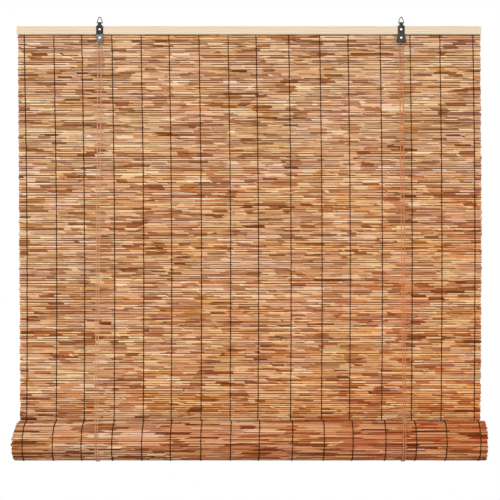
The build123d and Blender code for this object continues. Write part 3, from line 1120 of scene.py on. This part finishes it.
def screws_and_axles():
    screw_low, screw_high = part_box("hanger_screws")
    axle_low, axle_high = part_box("pulley_axles")
    screw_z = (screw_low.z + screw_high.z) / 2
    flange, rim = axle_high.y - flange_thickness, flange_radius - flange_ease
    screw = dome(plate_face - screw_low.y) + [
        (screw_radius, plate_face), (screw_radius, screw_high.y), (0.0, screw_high.y),
    ]
    axle = dome(plate_face - axle_low.y) + [
        (axle_radius, plate_face), (axle_radius, flange), (rim, flange),
        (flange_radius, flange + flange_ease), (flange_radius, axle_high.y - flange_ease),
        (rim, axle_high.y), (0.0, axle_high.y),
    ]
    screws = [lathe(f"screw_{side}", screw, x, screw_z, head_steps) for side, x in hanger_x.items()]
    axles = [lathe(f"axle_{side}", axle, x, wheel_spot.z, head_steps) for side, x in hanger_x.items()]
    dress(join(screws, "hanger_screws_domed"), bright_steel, "headrail", "bright_steel", "hanger_screws")
    dress(join(axles, "pulley_axles_domed"), bright_steel, "headrail", "bright_steel", "pulley_axles")


def pulley_wheel(side):
    outline = wheel_half + [(radius, -out) for radius, out in reversed(wheel_half[1:])]
    outline = [(radius * MM, wheel_spot.y + out * MM) for radius, out in outline]
    wheel = lathe(f"pulley_wheel_{side}_turned", outline, hanger_x[side], wheel_spot.z, wheel_steps)
    dress(wheel, nylon, f"pulley_{side}", "wheel_nylon", f"pulley_wheel_{side}")


# Studio


def seen_ray(shader):
    """One for what the camera sees straight, reflected or through a surface, so that the room looks white and
    lights no more."""
    rays = shader.add("ShaderNodeLightPath").outputs
    seen = shader.math("MAXIMUM", rays["Is Camera Ray"], rays["Is Glossy Ray"])
    return shader.math("MAXIMUM", seen, rays["Is Transmission Ray"])


def studio():
    clear_selection()
    bpy.ops.mesh.primitive_grid_add(
        x_subdivisions=4, y_subdivisions=4, size=floor_size, location=(0, 0, floor_z),
    )
    floor = settle(bpy.context.object)
    floor.name = "floor"
    shader, place = finish_named("pale_floor")
    clouds = shader.noise(place, 1.5, 2.0)
    material = shader.coat(shader.mix(clouds, (0.86, 0.86, 0.86), (0.9, 0.9, 0.9)), 0.9)
    reach = shader.add("ShaderNodeVectorMath", {0: shader.stretched(place, (1, 1, 0))}, operation="LENGTH")
    pale = shader.times(seen_ray(shader), shader.band(reach.outputs["Value"], 0.6, 2.3, 0.6, 1.0))
    matt, glow = shader.tree.nodes["Principled BSDF"], shader.add("ShaderNodeEmission")
    both = shader.either(pale, matt.outputs[0], glow.outputs[0])
    shader.put(shader.tree.nodes["Material Output"].inputs["Surface"], both)
    paint(floor, material)

    world = bpy.data.worlds.new("studio")
    bpy.context.scene.world = world
    world.use_nodes = True
    shader = Shader(world, world.node_tree)
    room = shader.tree.nodes["Background"]
    white = shader.add("ShaderNodeBackground")
    for light, strength in ((room, room_light), (white, 1.0)):
        shader.put(light.inputs["Color"], (1, 1, 1))
        shader.put(light.inputs["Strength"], strength)
    both = shader.either(seen_ray(shader), room.outputs[0], white.outputs[0])
    shader.put(shader.tree.nodes["World Output"].inputs["Surface"], both)

    for name, spot, size, energy in lamps:
        lamp = bpy.data.lights.new(name, "AREA")
        lamp.size = size
        lamp.energy = energy
        holder = stand(name, lamp)
        holder.location = spot
        holder.rotation_euler = (lamp_target - Vector(spot)).to_track_quat("-Z", "Y").to_euler()

    lens = bpy.data.cameras.new("front_camera")
    lens.sensor_width = 36
    lens.lens = camera_lens
    lens.clip_end = 50
    camera = stand("front_camera", lens)
    camera.location = camera_spot
    camera.rotation_euler = (pi / 2, 0, 0)
    bpy.context.scene.camera = camera
    bpy.context.scene.view_settings.view_transform = "Standard"


hanging_mat()
rolled_mat()
for blank in (stem_blank, sliver_blank):
    bpy.data.objects.remove(blank)
mat_twine()
roll_twine()
for side in hanger_x:
    front_cords(side)
    back_cords(side)
    hanger_plate(side)
    hanging_ring(side)
    pulley_wheel(side)
cord_loops()
overhand_knots()
screws_and_axles()
for name in ("headrail", "bottom_batten"):
    paint(frame["nodes"][name], pine)
for name in ("mat_staples", "cord_staples"):
    paint(frame["nodes"][name], staple_steel)
studio()
